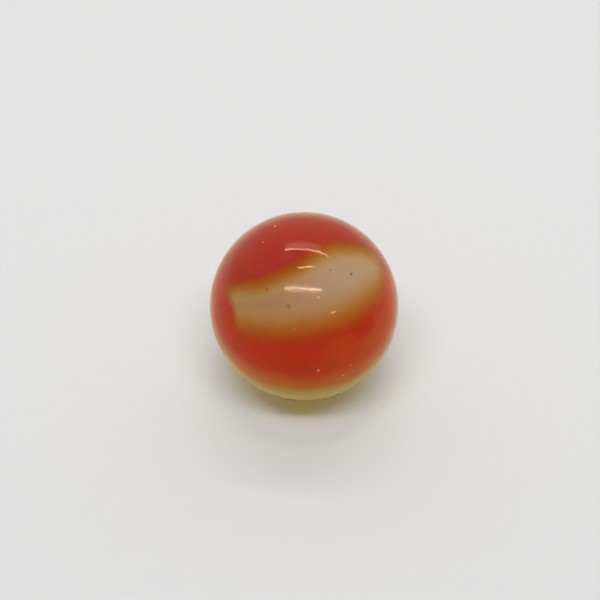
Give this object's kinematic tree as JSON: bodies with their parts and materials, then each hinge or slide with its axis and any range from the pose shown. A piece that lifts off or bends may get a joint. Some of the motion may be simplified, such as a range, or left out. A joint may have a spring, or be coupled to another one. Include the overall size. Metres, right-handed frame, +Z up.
{
  "type": "glass marble",
  "caption": "Solid glass ball for games, red with a milky window near its top and a clear olive base, with small open bubbles in its skin.",
  "frame": {"origin": "centre of the ball", "axes": "+Z up as the ball lay when seen, -Y to the front, +X to the viewer's right"},
  "size_m": [0.016, 0.016, 0.016],
  "materials": {
    "swirl_glass": "polished, clouded red glass with a milky window and an olive base"
  },
  "bodies": {
    "root": {"marble": "swirl_glass"}
  },
  "joints": []
}
